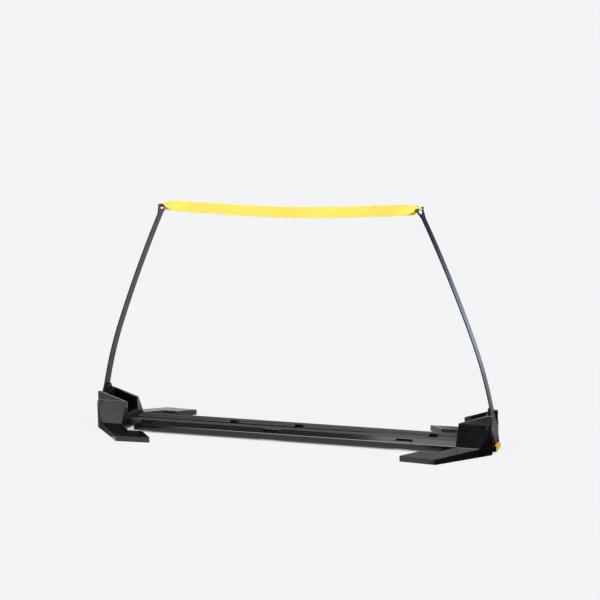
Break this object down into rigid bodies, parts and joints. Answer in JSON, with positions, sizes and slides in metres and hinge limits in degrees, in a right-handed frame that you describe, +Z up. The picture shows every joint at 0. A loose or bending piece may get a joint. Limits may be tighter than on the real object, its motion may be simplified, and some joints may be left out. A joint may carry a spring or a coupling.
{
  "type": "speed hurdle",
  "caption": "Low training hurdle: webbing strap between two sprung leaf arms that fold down over a railed base on splayed feet.",
  "frame": {"origin": "on the floor, at the middle of the base", "axes": "+X along the hurdle to its right end, -Y to the front, +Z up"},
  "size_m": [0.773, 0.2362, 0.4345],
  "materials": {
    "housing": "satin black moulding",
    "rail": "satin black moulding",
    "arm": "smooth dark grey",
    "carrier": "smooth black",
    "pin": "black oxide",
    "screw": "zinc plated",
    "webbing": "woven webbing",
    "band": "smooth elastic"
  },
  "bodies": {
    "base": {"front_rail": "rail", "rear_rail": "rail", "centre_rail": "rail", "left_housing": "housing", "left_hinge_pin": "pin", "left_pin_cap": "pin", "left_rail_screws": "screw", "left_return_band": "band", "left_band_anchor": "pin", "right_housing": "housing", "right_hinge_pin": "pin", "right_pin_cap": "pin", "right_rail_screws": "screw", "right_return_band": "band", "right_band_anchor": "pin"},
    "left_arm_assembly": {"left_arm": "arm", "left_arm_carrier": "carrier", "left_arm_screws": "screw", "left_strap_bar": "pin"},
    "right_arm_assembly": {"right_arm": "arm", "right_arm_carrier": "carrier", "right_arm_screws": "screw", "right_strap_bar": "pin"},
    "left_loop": {"left_strap_loop": "webbing"},
    "strap_left": {"strap_left_span": "webbing"},
    "strap_right": {"strap_right_span": "webbing"},
    "right_loop": {"right_strap_loop": "webbing"}
  },
  "joints": [
    {"name": "left_arm_fold", "type": "hinge", "parent": "base", "child": "left_arm_assembly", "pos_m": [-0.371, 0, 0.0475], "axis": [0, 1, 0], "range_deg": [0, 74], "stiffness_Nm_per_rad": 0.8, "springref_deg": -20.05, "deforming": ["left_return_band"]},
    {"name": "right_arm_fold", "type": "hinge", "parent": "base", "child": "right_arm_assembly", "pos_m": [0.371, 0, 0.0475], "axis": [0, -1, 0], "range_deg": [0, 67.84], "stiffness_Nm_per_rad": 0.8, "springref_deg": -20.05, "deforming": ["right_return_band"]},
    {"name": "left_loop_swing", "type": "hinge", "parent": "left_arm_assembly", "child": "left_loop", "pos_m": [-0.24315, 0, 0.425], "axis": [0, -1, 0], "range_deg": [0, 74.5]},
    {"name": "right_loop_swing", "type": "hinge", "parent": "right_arm_assembly", "child": "right_loop", "pos_m": [0.24315, 0, 0.425], "axis": [0, 1, 0], "range_deg": [0, 67.84]},
    {"name": "strap_left_fold", "type": "hinge", "parent": "left_loop", "child": "strap_left", "pos_m": [-0.21315, 0, 0.4245], "axis": [-0.1182, 0, -0.993], "range_deg": [0, 106.66], "deforming": ["strap_left_span"]},
    {"name": "strap_right_fold", "type": "hinge", "parent": "right_loop", "child": "strap_right", "pos_m": [0.21315, 0, 0.4245], "axis": [0.0523, 0, 0.9986], "range_deg": [0, 106.35], "deforming": ["strap_right_span"]}
  ],
  "couplings": [
    {"joint": "right_arm_fold", "follows": "left_arm_fold", "ratio": 0.91},
    {"joint": "left_loop_swing", "follows": "left_arm_fold", "ratio": 1},
    {"joint": "right_loop_swing", "follows": "left_arm_fold", "ratio": 0.91},
    {"joint": "strap_left_fold", "follows": "left_arm_fold", "ratio": 1.4346},
    {"joint": "strap_right_fold", "follows": "left_arm_fold", "ratio": 1.4304}
  ]
}
